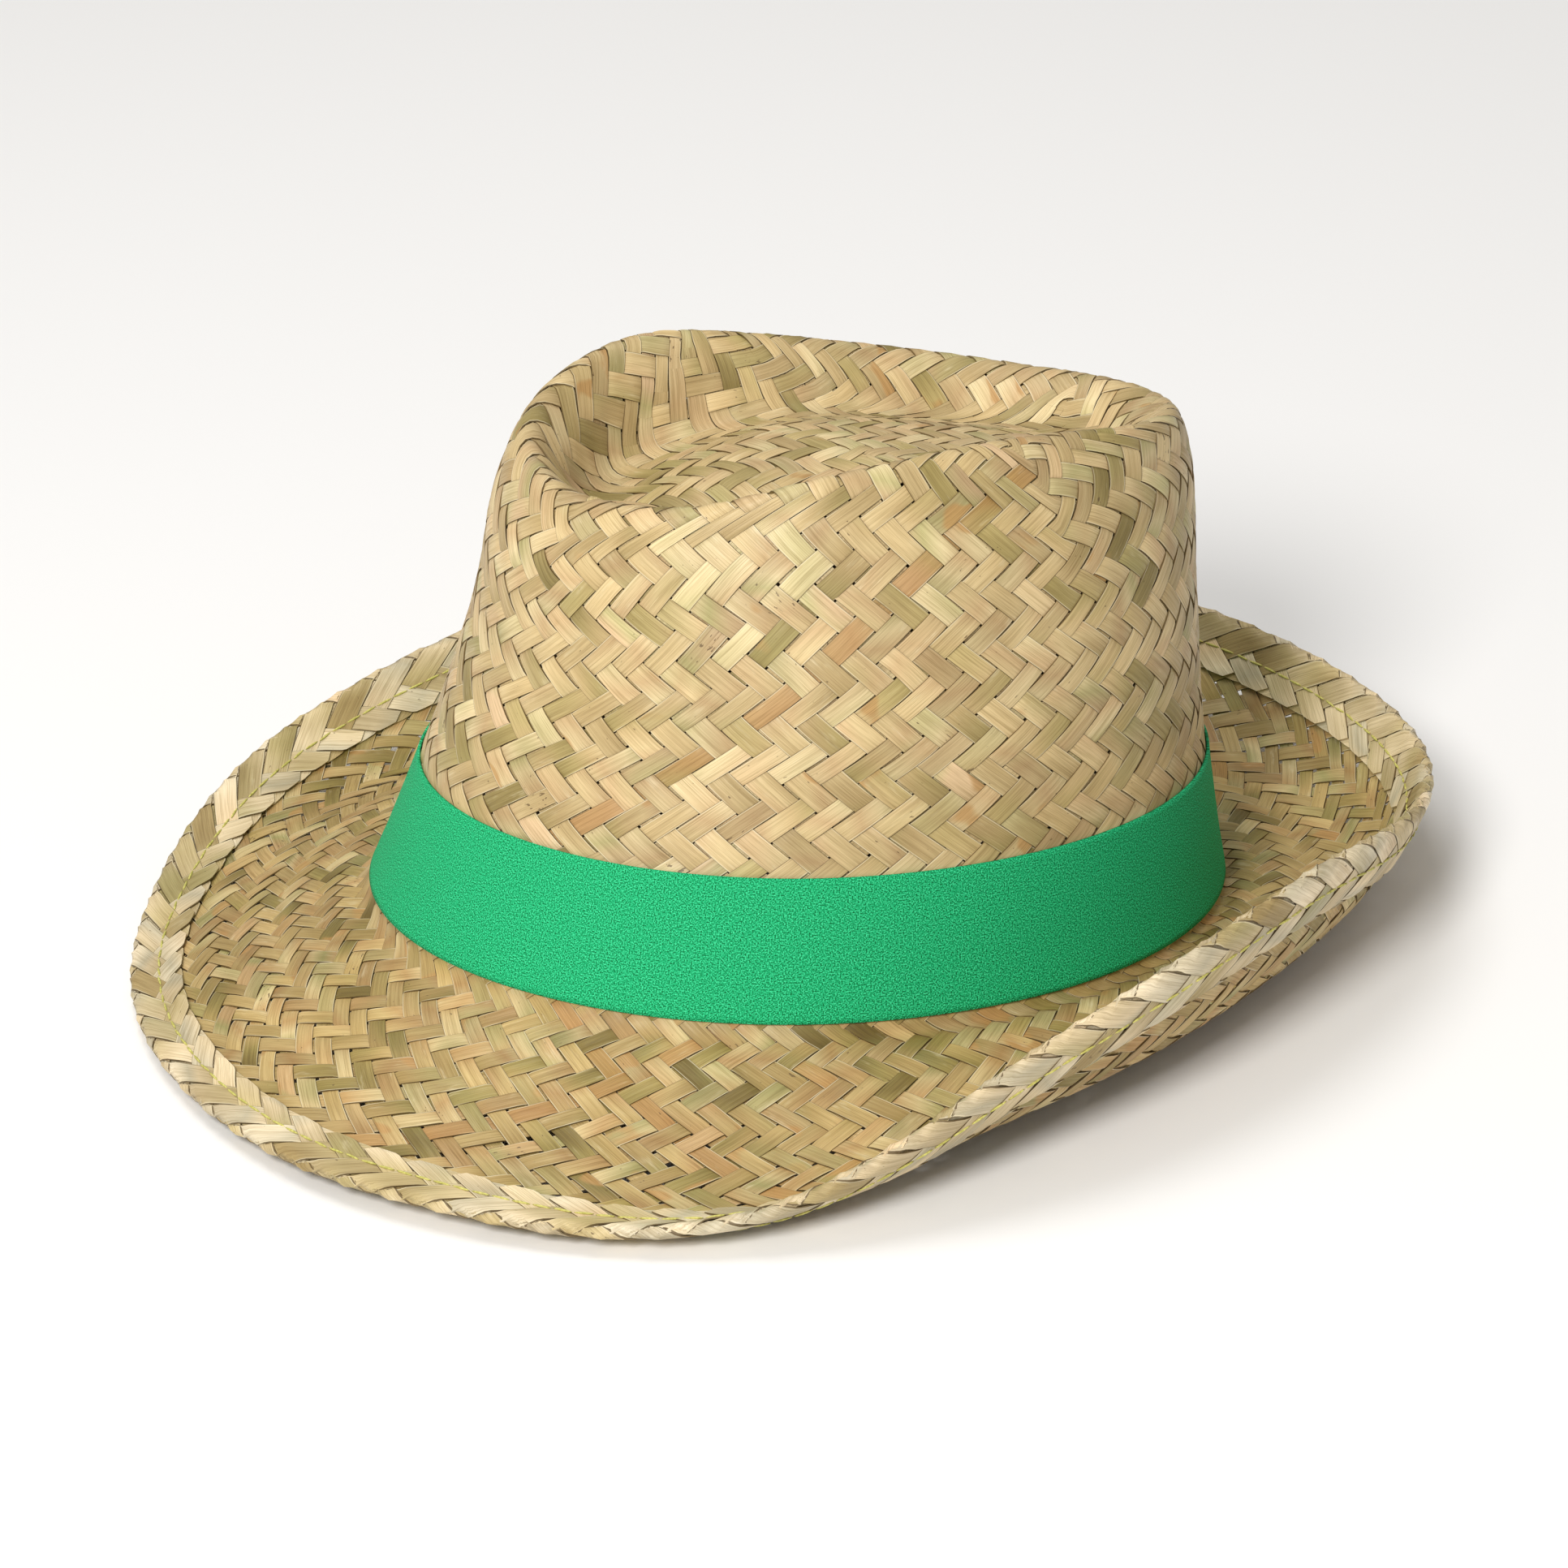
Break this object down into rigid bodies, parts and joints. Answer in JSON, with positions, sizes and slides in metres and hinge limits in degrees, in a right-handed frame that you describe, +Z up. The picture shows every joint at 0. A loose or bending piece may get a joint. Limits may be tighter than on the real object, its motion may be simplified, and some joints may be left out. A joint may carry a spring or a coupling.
{
  "type": "straw hat",
  "caption": "Woven straw hat with a long dent in its crown, a brim turned down in front and up behind, a bound edge and a ribbon band.",
  "frame": {"origin": "on the floor, below the middle of the hat's box, the hat resting as it would by itself", "axes": "+Z up; the front of the hat faces -Y; the wearer's left is +X"},
  "size_m": [0.2732, 0.2962, 0.1301],
  "materials": {
    "straw": "plaited flat grass strips, dry, satin",
    "straw_braid": "paler plaited braid, satin",
    "ribbon": "green woven ribbon, matt with a slight sheen"
  },
  "bodies": {
    "root": {"woven_body": "straw", "brim_binding": "straw_braid", "ribbon_band": "ribbon"}
  },
  "joints": []
}
